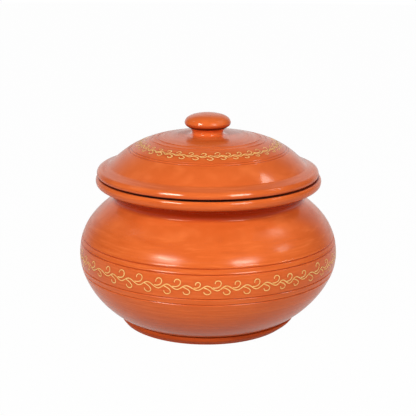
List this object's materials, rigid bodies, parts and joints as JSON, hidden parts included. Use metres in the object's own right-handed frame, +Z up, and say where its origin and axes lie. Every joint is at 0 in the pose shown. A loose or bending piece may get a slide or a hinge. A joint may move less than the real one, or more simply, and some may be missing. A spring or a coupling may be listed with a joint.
{
  "type": "lidded serving pot",
  "caption": "Round-bellied terracotta serving pot on a low foot ring, with a turned-out rim and a domed lid with a mushroom knob that lifts straight off.",
  "frame": {"origin": "centre of the foot ring, on the surface the pot stands on", "axes": "+Z up along the turning axis, -Y towards the viewer of the picture"},
  "size_m": [0.2132, 0.2132, 0.1732],
  "materials": {
    "vessel_clay": "burnished satin",
    "foot_clay": "plain fired clay",
    "lid_clay": "burnished satin",
    "ring_clay": "plain fired clay",
    "knob_clay": "burnished satin",
    "scroll_slip": "matt cream slip in the carved scrolls"
  },
  "bodies": {
    "pot": {"pot_body": "vessel_clay", "foot_ring": "foot_clay"},
    "lid": {"lid_shell": "lid_clay", "lid_locating_ring": "ring_clay", "lid_knob": "knob_clay"}
  },
  "joints": [
    {"name": "lid_lift", "type": "slide", "parent": "pot", "child": "lid", "axis": [0, 0, 1], "range_m": [0, 0.08]}
  ]
}
